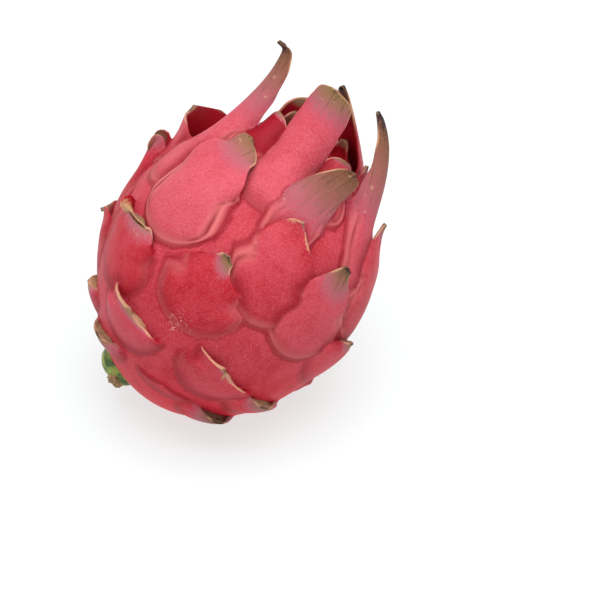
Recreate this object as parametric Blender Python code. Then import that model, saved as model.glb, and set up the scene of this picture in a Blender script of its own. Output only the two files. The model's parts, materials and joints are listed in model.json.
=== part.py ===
"""A whole red dragon fruit, the fruit of a climbing cactus, as it lies when picked.

The fruit is one solid: a blunt egg-shaped body with leafy scales in a golden-angle spiral. The lower
scales lie close to the body, and the upper ones stand up round the crown. A stub of green cactus stem
is left near the base. Metres, +Z up. The fruit lies leaning, on a small flat spot at Z = 0.
"""

import math

import bmesh
import bpy
from mathutils import Matrix, Vector

MM = 0.001
WELD = 0.003 * MM

# The body, along its own axis from the base (south) to the crown (north). It narrows towards its base.
BODY_RADIUS = 40.8 * MM
BODY_HALF_LENGTH = 48.2 * MM
BASE_TAPER = 0.05
NAVEL_RADIUS = 9.0 * MM
NAVEL_DEPTH = 5.0 * MM
BODY_SIDES = 40
BODY_RINGS = 22

# How the fruit lies: its axis leans over, and it is turned about that axis.
LEAN = math.radians(40.4)
LEAN_TOWARDS = math.radians(34.6)
SPIN = math.radians(-139.9)
RESTING_DEPTH = 3.9 * MM

# The spiral of scales, from the base up.
SCALES = 42
GOLDEN_ANGLE = 137.508
FIRST_TURN = -100.65
FIRST_LATITUDE = -78.5
LATITUDE_STEP = 3.5
LEAST_LENGTH = 12.0 * MM
FULL_LENGTH = 30.0 * MM
FULL_LENGTH_RISE = 0.75
LOW_SCALES = 24
LOW_CURL = -45

# The roots of the upper scales run further down the body, under the scales below them.
BASE_DROP = 7.0 * MM
DROP_RISE = (0.3, 0.6)

# A scale's cross-section. Pairs are where a change along or across the scale starts and ends.
BASE_SINK = 0.8 * MM
BASE_DOME = 3.4 * MM
ROOT_DEPTH = 3.0 * MM
BLADE_THICKNESS = 1.5 * MM
TIP_ALLOWANCE = 1.2 * MM
FULL_WIDTH = 16.0 * MM
WIDEST = 11.0 * MM
WIDEST_SHARE = 0.35
BASE_ARC = 0.95
BASE_ROUNDNESS = 0.9
BASE_REACH = 0.6
CLIMB = (-0.1, 0.8)
DOME_SPREAD = (0.35, 0.75)
MARGIN_ALONG = (0.4, 0.75)
MARGIN_ACROSS = (0.5, 1.0)
ROOTED = (-0.1, 0.25)
CUPPED = (0.0, 0.5)
SKEWED = (0.1, 0.7)
LEAST_RADIUS = 6.0 * MM
MIDDLE_RISE = 12.0
MIDDLE_MOST = 70.0

# How finely a scale is divided.
LONG_SCALE = 31.0 * MM
ROWS = 7
LONG_ROWS = 9
HOOKED_ROWS = 15
SIDES = (-1.0, -0.68, 0.0, 0.68, 1.0)
SPINE_STEPS = 64

# The stub of stem: a ribbed lump, as half sizes along the meridian, across it and outward.
STUB_TURN = math.radians(-90)
STUB_LATITUDE = math.radians(-68)
STUB_HALF_SIZES = (7.0 * MM, 6.0 * MM, 5.0 * MM)
STUB_RIBS = 3
STUB_RIB_HEIGHT = 0.07
STUB_GAP = 0.3 * MM

# The corky knobs at the stub's end, and where they sit as shares of the stub's half sizes.
KNOB_RADIUS = 1.9 * MM
KNOBS = 4
KNOB_TURN = -50
KNOB_STEP = 36
KNOB_PLACE = (0.72, 0.72, 0.62)

# A usual scale. Turn and latitude are shifts in degrees. Leave is the share of the length that lies on
# the body. Bend and curl are in degrees, inward. A hook rolls the end over, from one share of the free
# length on and over another. Flare is how far the middle leans outward. Slant turns the tip aside, and
# skew lowers one margin. Dome is how high the scale stands on the body.
USUAL = dict(turn=0, latitude=0, leave=0.72, bend=-15, hook=0, hook_at=0.85, hook_span=0.2, flare=0,
             taper=1.3, tip=1.3 * MM, cup=14.0 * MM, slant=0, skew=0.5 * MM, dome=BASE_DOME, loose=1.0)

# The scales that grew unlike the rule, by their number in the spiral.
UNLIKE = {
    1: dict(turn=10, latitude=7, length=17 * MM, curl=-25, tip=1.6 * MM),
    3: dict(latitude=10, turn=-4),
    4: dict(length=9 * MM, leave=0.98, bend=0, curl=0, dome=1.2 * MM, loose=0.0),
    6: dict(length=9 * MM, leave=0.98, bend=0, curl=0, dome=1.2 * MM, loose=0.0),
    8: dict(turn=-3, latitude=3, bend=-5),
    11: dict(turn=-2, latitude=-5, length=20 * MM, taper=0.6, tip=11 * MM, skew=3.4 * MM, bend=-12, curl=-8),
    13: dict(turn=20, latitude=-4, length=34 * MM, leave=0.6, bend=-40, curl=0, hook=-90, hook_at=0.5,
             hook_span=0.3, tip=1.6 * MM, taper=0.9),
    14: dict(turn=-2, latitude=-15, length=20 * MM, taper=0.5, tip=13 * MM, skew=4 * MM, bend=-6, curl=-4),
    16: dict(turn=12, latitude=-4, length=34 * MM, leave=0.6, bend=-10, curl=0, hook=-230, hook_at=0.35,
             hook_span=0.6, tip=4 * MM, taper=0.9, skew=3 * MM),
    19: dict(turn=4, latitude=-3.5, length=27 * MM, curl=-25, taper=2.6, tip=2 * MM, skew=2 * MM),
    21: dict(latitude=-3, length=38 * MM, leave=0.35, bend=-25, curl=0, hook=-155, hook_at=0.58,
             cup=3.4 * MM, tip=3.4 * MM),
    22: dict(latitude=-1, length=29 * MM, tip=1.8 * MM, taper=1.7, curl=-20, slant=4),
    24: dict(turn=5, length=40 * MM, drop=2.5 * MM, leave=0.8, bend=-10, taper=1.0, tip=5.2 * MM,
             dome=4.3 * MM, cup=10 * MM, skew=1.5 * MM),
    25: dict(turn=-16, length=34.6 * MM, leave=0.5, bend=12, curl=-50, tip=1 * MM),
    26: dict(length=38 * MM, leave=0.45, bend=-5, cup=9 * MM),
    27: dict(turn=7, latitude=-12, length=30 * MM, leave=0.7, curl=-40, taper=1.2, skew=3 * MM),
    28: dict(length=29 * MM, leave=0.3, cup=9 * MM),
    29: dict(turn=9, length=59 * MM, leave=0.12, bend=-12, curl=-40, taper=0.55, half_width=11 * MM,
             tip=0.8 * MM, cup=5 * MM, hook=-60, hook_at=0.82, hook_span=0.16, skew=0),
    30: dict(length=51 * MM, leave=0.1, flare=21, bend=31, taper=0.85, half_width=10.5 * MM, tip=1.3 * MM,
             cup=6 * MM),
    31: dict(length=35 * MM, leave=0.25, bend=-30, taper=0.45, half_width=13 * MM, tip=6 * MM, cup=11 * MM),
    32: dict(turn=14, length=47 * MM, drop=1.5 * MM, leave=0.2, bend=-38, curl=-30, taper=0.5,
             cup=9 * MM, half_width=10.5 * MM, tip=5 * MM, dome=3.8 * MM),
    33: dict(turn=6, length=52 * MM, leave=0.15, bend=8, taper=0.7, half_width=13 * MM, tip=2 * MM),
    34: dict(turn=0, latitude=-20, length=20 * MM, leave=0.1, bend=-42, taper=0.5, cup=20 * MM,
             half_width=19 * MM, tip=10 * MM, skew=2.5 * MM),
    35: dict(turn=-19, latitude=-15, length=29 * MM, leave=0.3, bend=-35, taper=0.7, slant=22,
             half_width=9.5 * MM, tip=3 * MM),
    36: dict(length=15 * MM, leave=0.2, bend=-40, cup=8 * MM),
    37: dict(turn=12, latitude=-9, length=23 * MM, leave=0.3, bend=-30, half_width=8 * MM, tip=4 * MM,
             taper=0.6, cup=6 * MM),
    38: dict(length=14 * MM, leave=0.2, bend=-40, half_width=8 * MM, cup=6 * MM),
    39: dict(length=13 * MM, leave=0.2, bend=-40, half_width=8 * MM, cup=6 * MM),
    40: dict(turn=32, latitude=-13, length=17 * MM, leave=0.2, bend=-40, half_width=8 * MM, tip=4 * MM,
             taper=0.6, cup=6 * MM),
    41: dict(length=12 * MM, leave=0.2, bend=-40, half_width=7 * MM, cup=6 * MM),
}


def smooth_step(low, high, value):
    share = min(max((value - low) / (high - low), 0.0), 1.0)
    return share * share * (3.0 - 2.0 * share)


def mix(first, second, share):
    return first + (second - first) * share


def clear_scene():
    for obj in list(bpy.data.objects):
        bpy.data.objects.remove(obj, do_unlink=True)


def new_collection(name):
    collection = bpy.data.collections.new(name)
    bpy.context.scene.collection.children.link(collection)
    return collection


def new_material(name, colour, roughness, metallic=0.0):
    material = bpy.data.materials.new(name)
    material.use_nodes = True
    shader = material.node_tree.nodes["Principled BSDF"]
    shader.inputs["Base Color"].default_value = (*colour, 1.0)
    shader.inputs["Roughness"].default_value = roughness
    shader.inputs["Metallic"].default_value = metallic
    return material


def body_point(latitude):
    """The body's radius and height at a latitude, without the navel."""
    narrowed = 1.0 + BASE_TAPER * min(math.sin(latitude), 0.0)
    return BODY_RADIUS * math.cos(latitude) * narrowed, BODY_HALF_LENGTH * math.sin(latitude)


def body_slope(latitude):
    """How fast the body's radius and height change with the latitude."""
    sine = math.sin(latitude)
    cosine = math.cos(latitude)
    narrowed = 1.0 + BASE_TAPER * min(sine, 0.0)
    narrowing = BASE_TAPER * cosine if sine < 0 else 0.0
    return BODY_RADIUS * (cosine * narrowing - sine * narrowed), BODY_HALF_LENGTH * cosine


def body_lean(latitude):
    """How far the body's meridian leans inward there: 0 at the equator, a right angle at the crown."""
    outward, upward = body_slope(latitude)
    return math.atan2(-outward, upward)


def fruit_placement():
    """The matrix that lays the fruit down, with the lowest point of its body over the origin."""
    turned = (Matrix.Rotation(LEAN_TOWARDS, 4, "Z")
              @ Matrix.Rotation(LEAN, 4, "Y")
              @ Matrix.Rotation(SPIN, 4, "Z"))
    down = turned.to_3x3().transposed() @ Vector((0.0, 0.0, -1.0))
    outward = Vector((down.x, down.y, 0.0)).normalized()
    profile = [body_point(math.radians(tenth / 10)) for tenth in range(-900, 901)]
    meridian = [outward * radius + Vector((0.0, 0.0, height)) for radius, height in profile]
    lowest = turned.to_3x3() @ max(meridian, key=down.dot)
    return Matrix.Translation(-lowest + Vector((0.0, 0.0, BASE_DOME - RESTING_DEPTH))) @ turned


class Scale:
    """One scale: where it grows, how long and wide it is, and how it leaves the body."""

    def __init__(self, number):
        rise = number / (SCALES - 1)
        own = {**USUAL, **UNLIKE.get(number, {})}
        self.turn = math.radians(FIRST_TURN + GOLDEN_ANGLE * number + own["turn"])
        latitude = FIRST_LATITUDE + LATITUDE_STEP * number + own["latitude"]
        drop = own.get("drop", BASE_DROP * smooth_step(*DROP_RISE, rise))
        self.latitude = math.radians(latitude) - drop / BODY_HALF_LENGTH
        usual_length = mix(LEAST_LENGTH, FULL_LENGTH, smooth_step(0.0, FULL_LENGTH_RISE, rise))
        length = own.get("length", usual_length) + TIP_ALLOWANCE
        self.length = length + drop
        middle = math.radians(min(latitude + MIDDLE_RISE, MIDDLE_MOST))
        self.half_width = own.get("half_width", FULL_WIDTH * math.sqrt(math.cos(middle)))
        self.leave = 1.0 - (1.0 - own["leave"]) * length / self.length
        self.bend = math.radians(own["bend"])
        self.curl = math.radians(own.get("curl", LOW_CURL if number < LOW_SCALES else 0))
        self.hook = math.radians(own["hook"])
        self.hook_at = own["hook_at"]
        self.hook_span = own["hook_span"]
        self.flare = math.radians(own["flare"])
        self.taper = own["taper"]
        self.tip = own["tip"]
        self.cup = own["cup"]
        self.slant = math.radians(own["slant"])
        self.skew = own["skew"]
        self.dome = own["dome"]
        self.loose = own["loose"]
        self.widest = min(WIDEST_SHARE, WIDEST / self.length)
        self.spine = self.trace_spine()

    def trace_spine(self):
        """Radius, height and lean along the middle of the scale, at equal steps."""
        step = self.length / SPINE_STEPS
        latitude = self.latitude
        radius, height = body_point(latitude)
        lean = body_lean(latitude)
        leaving_lean = lean
        points = []
        for index in range(SPINE_STEPS + 1):
            points.append((radius, height, lean))
            share = index / SPINE_STEPS
            if share < self.leave:
                latitude += step / math.hypot(*body_slope(latitude))
                radius, height = body_point(latitude)
                lean = body_lean(latitude)
                leaving_lean = lean
            else:
                free = (share - self.leave) / (1.0 - self.leave)
                lean = leaving_lean + self.bend * free + self.curl * free ** 3
                lean += self.hook * smooth_step(self.hook_at, self.hook_at + self.hook_span, free)
                lean -= self.flare * math.sin(math.pi * free)
                radius -= step * math.sin(lean)
                height += step * math.cos(lean)
        return points

    def spine_at(self, share):
        place = min(max(share, 0.0), 1.0) * (len(self.spine) - 1)
        index = min(int(place), len(self.spine) - 2)
        first = self.spine[index]
        second = self.spine[index + 1]
        return [mix(a, b, place - index) for a, b in zip(first, second)]

    def half_width_at(self, share):
        past = min(max((share - self.widest) / (1.0 - self.widest), 0.0), 1.0)
        return mix(self.tip, self.half_width, (1.0 - past) ** self.taper)

    def rows(self):
        if self.hook:
            return HOOKED_ROWS
        return LONG_ROWS if self.length > LONG_SCALE else ROWS

    def place(self, share, side):
        """The outer surface's point and the inner one's, for share 0 to 1 and side -1 to 1."""
        round_base = min(self.half_width * BASE_ROUNDNESS / self.length, BASE_REACH)
        arc = (1.0 - math.sqrt(1.0 - BASE_ARC * side ** 2)) / (1.0 - math.sqrt(1.0 - BASE_ARC))
        along = share + (1.0 - share) * round_base * arc
        along -= self.skew / self.length * side * smooth_step(*SKEWED, share)
        radius, height, lean = self.spine_at(along)
        free = min(max((along - self.leave) / (1.0 - self.leave), 0.0), 1.0)
        margin_free = self.loose * smooth_step(*MARGIN_ALONG, share) * smooth_step(*MARGIN_ACROSS, abs(side))
        spread = mix(1.0 - abs(side) ** 3, 1.0, smooth_step(*DOME_SPREAD, share))
        rise = mix(-BASE_SINK, self.dome, smooth_step(*CLIMB, share) * spread)
        body_curve = math.cos(lean) / max(radius, LEAST_RADIUS)
        curve = mix(body_curve, 1.0 / self.cup, smooth_step(*CUPPED, free))
        angle = side * self.half_width_at(share) * curve
        turn = self.turn + self.slant * share ** 2
        outward = Vector((math.cos(turn), math.sin(turn), 0.0))
        sideways = Vector((-math.sin(turn), math.cos(turn), 0.0))
        normal = outward * math.cos(lean) + Vector((0.0, 0.0, 1.0)) * math.sin(lean)
        middle = outward * radius + Vector((0.0, 0.0, height))
        point = middle + sideways * math.sin(angle) / curve
        point += normal * (rise - (1.0 - math.cos(angle)) / curve)
        rooted = (1.0 - smooth_step(*ROOTED, along - self.leave)) * (1.0 - margin_free)
        thickness = mix(BLADE_THICKNESS, rise + ROOT_DEPTH, rooted)
        facing = normal * math.cos(angle) + sideways * math.sin(angle)
        return point, point - facing * thickness


def build_scale(number, collection):
    """A bent blade: deep where it is rooted in the body and thin where it is free."""
    scale = Scale(number)
    rows = scale.rows()
    columns = len(SIDES)
    blade = bmesh.new()
    loops = []
    for row in range(rows):
        faces = [scale.place(row / (rows - 1), side) for side in SIDES]
        outer = [blade.verts.new(outside) for outside, inside in faces]
        inner = [blade.verts.new(inside) for outside, inside in faces]
        loops.append(outer + inner[::-1])
    for lower, upper in zip(loops, loops[1:]):
        for index in range(2 * columns):
            after = (index + 1) % (2 * columns)
            blade.faces.new((lower[index], lower[after], upper[after], upper[index]))
    blade.faces.new(loops[0][::-1])
    blade.faces.new(loops[-1])
    bmesh.ops.triangulate(blade, faces=blade.faces)
    mesh = bpy.data.meshes.new(f"scale_{number:02d}")
    blade.to_mesh(mesh)
    blade.free()
    obj = bpy.data.objects.new(mesh.name, mesh)
    collection.objects.link(obj)
    return obj


def build_body(collection):
    """The round body, with the navel where the flower was."""
    work = bmesh.new()
    bmesh.ops.create_uvsphere(work, u_segments=BODY_SIDES, v_segments=BODY_RINGS, radius=1.0)
    for vert in work.verts:
        latitude = math.asin(min(max(vert.co.z, -1.0), 1.0))
        turn = math.atan2(vert.co.y, vert.co.x)
        radius, height = body_point(latitude)
        if latitude > 0:
            height -= NAVEL_DEPTH * math.exp(-(radius / NAVEL_RADIUS) ** 2)
        vert.co = (radius * math.cos(turn), radius * math.sin(turn), height)
    bmesh.ops.triangulate(work, faces=work.faces)
    mesh = bpy.data.meshes.new("fruit")
    work.to_mesh(mesh)
    work.free()
    obj = bpy.data.objects.new("fruit", mesh)
    collection.objects.link(obj)
    return obj


def largest_piece(mesh):
    """Welds a mesh, and drops what a union seals inside it or leaves loose."""
    work = bmesh.new()
    work.from_mesh(mesh)
    bmesh.ops.remove_doubles(work, verts=work.verts, dist=WELD)
    bmesh.ops.dissolve_degenerate(work, edges=work.edges, dist=WELD)
    unseen = set(work.verts)
    pieces = []
    while unseen:
        piece = {unseen.pop()}
        edge_of_piece = set(piece)
        while edge_of_piece:
            near = {edge.other_vert(vert) for vert in edge_of_piece for edge in vert.link_edges}
            edge_of_piece = near - piece
            piece |= edge_of_piece
        unseen -= piece
        pieces.append(piece)
    pieces.sort(key=len)
    for piece in pieces[:-1]:
        bmesh.ops.delete(work, geom=list(piece), context="VERTS")
    bmesh.ops.triangulate(work, faces=work.faces)
    work.to_mesh(mesh)
    work.free()


def apply_modifiers(obj):
    """Gives an object its evaluated mesh as its own."""
    depsgraph = bpy.context.evaluated_depsgraph_get()
    mesh = bpy.data.meshes.new_from_object(obj.evaluated_get(depsgraph))
    obj.modifiers.clear()
    mesh.name = obj.name
    obj.data = mesh


def add_union(obj, collection):
    """Joins everything in a collection to an object, and clears the collection away."""
    union = obj.modifiers.new("Union", "BOOLEAN")
    union.operation = "UNION"
    union.operand_type = "COLLECTION"
    union.collection = collection
    union.solver = "MANIFOLD"
    apply_modifiers(obj)
    for joined in list(collection.objects):
        bpy.data.objects.remove(joined, do_unlink=True)
    bpy.data.collections.remove(collection)


def stub_placement():
    """The stub's own frame on the fruit: +Z outward, +X along the meridian towards the crown."""
    radius, height = body_point(STUB_LATITUDE)
    lean = body_lean(STUB_LATITUDE)
    return (Matrix.Rotation(STUB_TURN, 4, "Z")
            @ Matrix.Translation((radius, 0.0, height))
            @ Matrix.Rotation(math.pi / 2 - lean, 4, "Y"))


def stub_solid(name, collection, grown_by):
    """The ribbed lump, or a slightly larger one that cuts its seat."""
    half_length, half_width, half_depth = STUB_HALF_SIZES
    work = bmesh.new()
    bmesh.ops.create_uvsphere(work, u_segments=24, v_segments=14, radius=1.0)
    for vert in work.verts:
        around = math.atan2(vert.co.y, vert.co.x)
        rib = 1.0 + STUB_RIB_HEIGHT * math.cos(STUB_RIBS * around)
        vert.co.x *= half_length * rib + grown_by
        vert.co.y *= half_width * rib + grown_by
        vert.co.z *= half_depth + grown_by
    mesh = bpy.data.meshes.new(name)
    work.to_mesh(mesh)
    work.free()
    obj = bpy.data.objects.new(name, mesh)
    collection.objects.link(obj)
    return obj


def build_stub(collection):
    """The stub with the corky knobs at its end."""
    stub = stub_solid("stem_stub", collection, 0.0)
    knobs = new_collection("knobs")
    for number in range(KNOBS):
        around = math.radians(KNOB_TURN + KNOB_STEP * number)
        direction = (math.cos(around), math.sin(around), 1.0)
        centre = Vector([a * b * c for a, b, c in zip(direction, STUB_HALF_SIZES, KNOB_PLACE)])
        work = bmesh.new()
        bmesh.ops.create_icosphere(work, subdivisions=2, radius=KNOB_RADIUS)
        bmesh.ops.translate(work, verts=work.verts, vec=centre)
        mesh = bpy.data.meshes.new(f"knob_{number}")
        work.to_mesh(mesh)
        work.free()
        knobs.objects.link(bpy.data.objects.new(mesh.name, mesh))
    add_union(stub, knobs)
    largest_piece(stub.data)
    return stub


def add_cutter(target, cutter):
    cutter.hide_render = True
    cutter.display_type = "WIRE"
    cut = target.modifiers.new(cutter.name, "BOOLEAN")
    cut.operation = "DIFFERENCE"
    cut.object = cutter
    cut.solver = "MANIFOLD"


def build_floor_cutter(collection):
    """A block with its top at Z = 0, which flattens the spot that the fruit lies on."""
    side = 4.0 * BODY_HALF_LENGTH
    work = bmesh.new()
    bmesh.ops.create_cube(work, size=side)
    bmesh.ops.translate(work, verts=work.verts, vec=(0.0, 0.0, -side / 2))
    mesh = bpy.data.meshes.new("resting_cut")
    work.to_mesh(mesh)
    work.free()
    obj = bpy.data.objects.new("resting_cut", mesh)
    collection.objects.link(obj)
    return obj


def main():
    clear_scene()
    parts = new_collection("dragon_fruit")
    cutters = new_collection("cutters")

    fruit = build_body(parts)
    scales = new_collection("scales")
    for number in range(SCALES):
        build_scale(number, scales)
    add_union(fruit, scales)
    stub = build_stub(parts)
    seat = stub_solid("stub_seat", cutters, STUB_GAP)

    placement = fruit_placement()
    fruit.matrix_world = placement
    stub.matrix_world = placement @ stub_placement()
    seat.matrix_world = placement @ stub_placement()
    bpy.context.view_layer.update()

    add_cutter(fruit, seat)
    add_cutter(fruit, build_floor_cutter(cutters))
    apply_modifiers(fruit)
    largest_piece(fruit.data)

    fruit.data.materials.clear()
    fruit.data.materials.append(new_material("rind", (0.62, 0.09, 0.13), 0.5))
    stub.data.materials.clear()
    stub.data.materials.append(new_material("stem", (0.16, 0.27, 0.05), 0.6))
    for obj in (fruit, stub):
        obj.data.shade_smooth()
        obj.data.set_sharp_from_angle(angle=math.radians(40))


main()
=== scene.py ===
"""A whole red dragon fruit on a white table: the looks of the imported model."""

import json
import math

import bmesh
import bpy
import numpy as np
from mathutils import Matrix, Vector, noise

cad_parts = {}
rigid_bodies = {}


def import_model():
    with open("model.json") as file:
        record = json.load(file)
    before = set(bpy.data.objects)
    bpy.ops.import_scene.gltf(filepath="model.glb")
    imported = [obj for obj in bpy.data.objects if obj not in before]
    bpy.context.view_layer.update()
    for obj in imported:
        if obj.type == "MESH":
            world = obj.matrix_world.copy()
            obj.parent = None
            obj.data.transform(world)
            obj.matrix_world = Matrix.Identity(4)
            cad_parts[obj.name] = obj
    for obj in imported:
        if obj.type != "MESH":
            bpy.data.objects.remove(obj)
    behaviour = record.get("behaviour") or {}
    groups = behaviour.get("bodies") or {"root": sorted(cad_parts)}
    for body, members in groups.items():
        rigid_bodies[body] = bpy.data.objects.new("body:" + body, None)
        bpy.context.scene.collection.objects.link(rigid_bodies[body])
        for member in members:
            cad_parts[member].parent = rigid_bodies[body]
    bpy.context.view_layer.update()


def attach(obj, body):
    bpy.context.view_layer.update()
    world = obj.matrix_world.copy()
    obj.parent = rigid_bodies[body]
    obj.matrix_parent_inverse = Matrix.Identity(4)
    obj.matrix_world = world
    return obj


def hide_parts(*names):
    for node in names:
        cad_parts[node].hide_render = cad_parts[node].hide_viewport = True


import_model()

MM = 0.001

# The body, along its own axis from the base (south) to the crown (north), as in the CAD.
BODY_RADIUS = 40.8 * MM
BODY_HALF_LENGTH = 48.2 * MM
BASE_TAPER = 0.05
NAVEL_RADIUS = 9.0 * MM
NAVEL_DEPTH = 5.0 * MM
BODY_BLOOM = 0.4
SHARP_ANGLE = math.radians(42)
BODY_SIDES = 150
BODY_RINGS = 96

# How the fruit lies, as in the CAD.
LEAN = math.radians(40.4)
LEAN_TOWARDS = math.radians(34.6)
SPIN = math.radians(-139.9)
RESTING_DEPTH = 3.5 * MM
CUTTER_SIZE = 0.1

# The spiral of scales, from the base up, as in the CAD.
SCALES = 42
GOLDEN_ANGLE = 137.508
FIRST_TURN = -100.65
FIRST_LATITUDE = -78.5
LATITUDE_STEP = 3.5
LOW_SCALES = 24

# A scale's outline and cross-section.
BASE_SINK = 0.6 * MM
BASE_DOME = 3.0 * MM
BASE_DROP = 7.0 * MM
SKIRT_RISE = 1.1 * MM
SKIRT_WIDTH = 3.0 * MM
SKIRT_FALL = 1.0 * MM
DOME_FALL = 3.0 * MM
GROOVE_DEPTH = 0.35 * MM
GROOVE_WIDTH = 0.45 * MM
FIBRE_DEPTH = 0.22 * MM
FIBRE_WIDTH = 1.6 * MM
FIBRE_LENGTH = 14.0 * MM
ROOT_DEPTH = 3.0 * MM
BLADE_THICKNESS = 1.3 * MM
RIM_THICKNESS = 0.7 * MM
WAVE_LENGTH = 7.0 * MM
WAVE_HEIGHT = 0.1
LEAST_RADIUS = 6.0 * MM

# Its usual lengths in millimetres, low and high on the body. Its half width, which shrinks with the body
# round its middle, where the outline is widest, and how the tip and the base are rounded.
LENGTHS = (12.0, 30.0)
FULL_WIDTH = 16.0 * MM
MIDDLE_RISE = 12.0
HIGHEST_MIDDLE = 70.0
WIDEST = 11.0 * MM
WIDEST_SHARE = 0.35
TIP_ROUNDING = 1.2
LEAST_END = 0.004
BASE_WIDTH_SHARE = 0.9
BASE_LENGTH_SHARE = 0.6
BASE_ARC = 0.95
BASE_ARC_DEPTH = 0.776
BASE_CORNER = 1.5 * MM
MARGIN_RELEASE = 40.0 * MM

# How finely a scale is divided.
ROW_STEP = 0.85 * MM
FEWEST_ROWS = 14
TIP_CROWDING = 0.7
HALF_COLUMNS = 15
SPINE_STEPS = 96

# The creases between scales: how far and how often they are smoothed, and how far the painted shade in them
# reaches. The valleys are painted shade beside a crease, on the younger scale of the two.
CREASE_REACH = 1.6 * MM
CREASE_STEPS = 8
CREASE_SMOOTHING = 0.6
CREASE_SHADE = 0.45 * MM
LOW_CREASE_SHADE = 0.3
VALLEY_REACH = 3.4 * MM
CREASE_VALLEY = 0.5
REACH_STEPS = 6
VALLEY_STEPS = 8
FAR = 1.0

# Where the skin is scuffed, and how wide.
SCUFF_TURN = -6
SCUFF_LATITUDE = -16
SCUFF_RADII = (2.0 * MM, 6.0 * MM)

# The rind's clouds, by how many there are in a metre.
PATCHES = 55.0
BLOTCHES = 190.0
FINE_BLOTCHES = 420.0
SPECKLE = 1300.0
STIPPLE = 2000.0

# The rind's own reds: two that mix in patches, and a stronger red painted on the low skin as its shading.
ROSE = (0.35, 0.010, 0.017)
LIGHT_ROSE = (0.42, 0.018, 0.03)
UNDERSIDE_SHADING_RED = (0.6, 0.003, 0.016)
# Where that painted shading fades out with height, and how far it thins the pale coats low down, so the top
# looks lit.
UNDERSIDE_SHADING_HEIGHTS = (5.0 * MM, 45.0 * MM)
UNDERSIDE_SHADING_FADE = 0.6

# The coats over them: how strongly each one covers, and its colour.
COATS = {
    "blotch": (0.4, (0.28, 0.004, 0.013)),
    "crimson": (1.0, (0.24, 0.003, 0.012)),
    "haze": (1.0, (0.5, 0.09, 0.125)),
    "stipple": (1.0, (0.54, 0.12, 0.15)),
    "mottle": (0.15, (0.54, 0.1, 0.12)),
    "pit": (0.3, (0.3, 0.006, 0.02)),
    # The ridge: paler skin there, partly a painted highlight. The groove: painted shade.
    "ridge": (0.62, (0.6, 0.16, 0.16)),
    "groove": (0.75, (0.19, 0.005, 0.012)),
    # Painted shade beside the creases and in them.
    "valley": (0.75, (0.2, 0.003, 0.012)),
    "crease": (0.5, (0.2, 0.005, 0.012)),
    "scuff": (0.6, (0.6, 0.3, 0.24)),
    "streak": (0.45, (0.12, 0.035, 0.03)),
    "scar": (0.25, (0.6, 0.42, 0.22)),
    "rim": (0.75, (0.52, 0.28, 0.17)),
    "char": (1.0, (0.02, 0.012, 0.012)),
}

# The dry tips' colours, from the fresh end to the dry one: the brown ones and the tan ones.
BROWN_TIP = [
    (0.0, (0.43, 0.05, 0.09)), (0.3, (0.35, 0.085, 0.11)), (0.6, (0.23, 0.085, 0.065)),
    (0.8, (0.16, 0.07, 0.035)), (0.88, (0.08, 0.03, 0.025)), (0.95, (0.015, 0.01, 0.011)),
]
TAN_TIP = [
    (0.0, (0.44, 0.07, 0.11)), (0.4, (0.38, 0.11, 0.13)), (0.62, (0.35, 0.19, 0.12)),
    (0.8, (0.34, 0.25, 0.1)), (0.93, (0.22, 0.15, 0.05)), (1.0, (0.07, 0.045, 0.02)),
]

# The inner faces: two reds that mix in patches, and the husk and its edge, each brown and tan.
INNER_REDS = ((0.2, 0.003, 0.008), (0.32, 0.006, 0.016))
HUSKS = ((0.12, 0.06, 0.04), (0.42, 0.24, 0.12))
HUSK_EDGES = ((0.12, 0.06, 0.03), (0.58, 0.27, 0.2))

# The stub of stem in its own frame, as in the CAD: +Z outward, +X along the meridian towards the crown.
STUB_TURN = math.radians(-90)
STUB_LATITUDE = math.radians(-68)
STUB_HALF_SIZES = (7.0 * MM, 6.0 * MM, 5.0 * MM)
STUB_RIBS = 3
STUB_RIB_HEIGHT = 0.07
STUB_FOLD = 0.03
STUB_GRAIN = 0.012
STUB_SIDES = 96
STUB_RINGS = 64
KNOB_RADIUS = 1.9 * MM
KNOBS = 4
KNOB_TURN = -50
KNOB_STEP = 36
KNOB_PLACE = (0.72, 0.72, 0.62)
KNOB_CRACK = 0.16
KNOB_GRAIN = 0.06
KNOB_DIVISIONS = 5

# The stem's greens, its scars, and its cork from the cracks up.
STEM_DARK = (0.035, 0.08, 0.006)
STEM_GREEN = (0.22, 0.28, 0.03)
STEM_WAX = (0.25, 0.3, 0.08)
STEM_SCAR = (0.3, 0.22, 0.09)
CORK = [(0.3, (0.06, 0.03, 0.012)), (0.5, (0.25, 0.15, 0.07)), (0.7, (0.48, 0.36, 0.2))]

# The camera looks along +Y from above, as the photo does.
CAMERA_HEIGHT = math.radians(40)
CAMERA_DISTANCE = 0.7
PHOTO_PIXELS = 600
PIXEL = 0.31 * MM
FRUIT_PIXEL = (235, 269)
SEEN_SHIFT = 1.1 * MM
SENSOR_WIDTH = 36.0

# The light and the table.
WORLD_LIGHT = 1.0
SOFTBOX_PLACE = (0.08, -0.12, 0.9)
SOFTBOX_AIM = (0.0, 0.0, 0.05)
SOFTBOX_SIZE = 0.9
SOFTBOX_POWER = 8.4
TABLE_COLOUR = (0.226, 0.25, 0.25)
TABLE_GLOW = 0.65
TABLE_ROUGHNESS = 0.9
TABLE_SPECULAR = 0.1
TABLE_HALF_SIZE = 3.0

# A usual scale. Turn and latitude are shifts in degrees. Leave is the share of the length that lies on
# the body. Bend and curl are in degrees, inward. A hook rolls the end over, from one share of the free
# length on and over another. Flare is how far the middle leans outward. Slant turns the tip aside, and
# skew lowers one margin. Dry is how far the dry colours reach from the tip, and rim how wide the pale
# margin is. Pale turns the dry colours from brown to tan. Bloom is the pink haze, and below 0 the scale is
# crimson. Edge is how strongly the ridge round the base stands out.
USUAL = dict(turn=0, latitude=0, leave=0.72, bend=-15, hook=0, hook_at=0.85, hook_span=0.2, flare=0,
             taper=1.3, tip=1.3 * MM, cup=14.0 * MM, dome=BASE_DOME, loose=1.0, dry=8.0 * MM,
             rim=0.45 * MM, pale=0.3)

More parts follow.
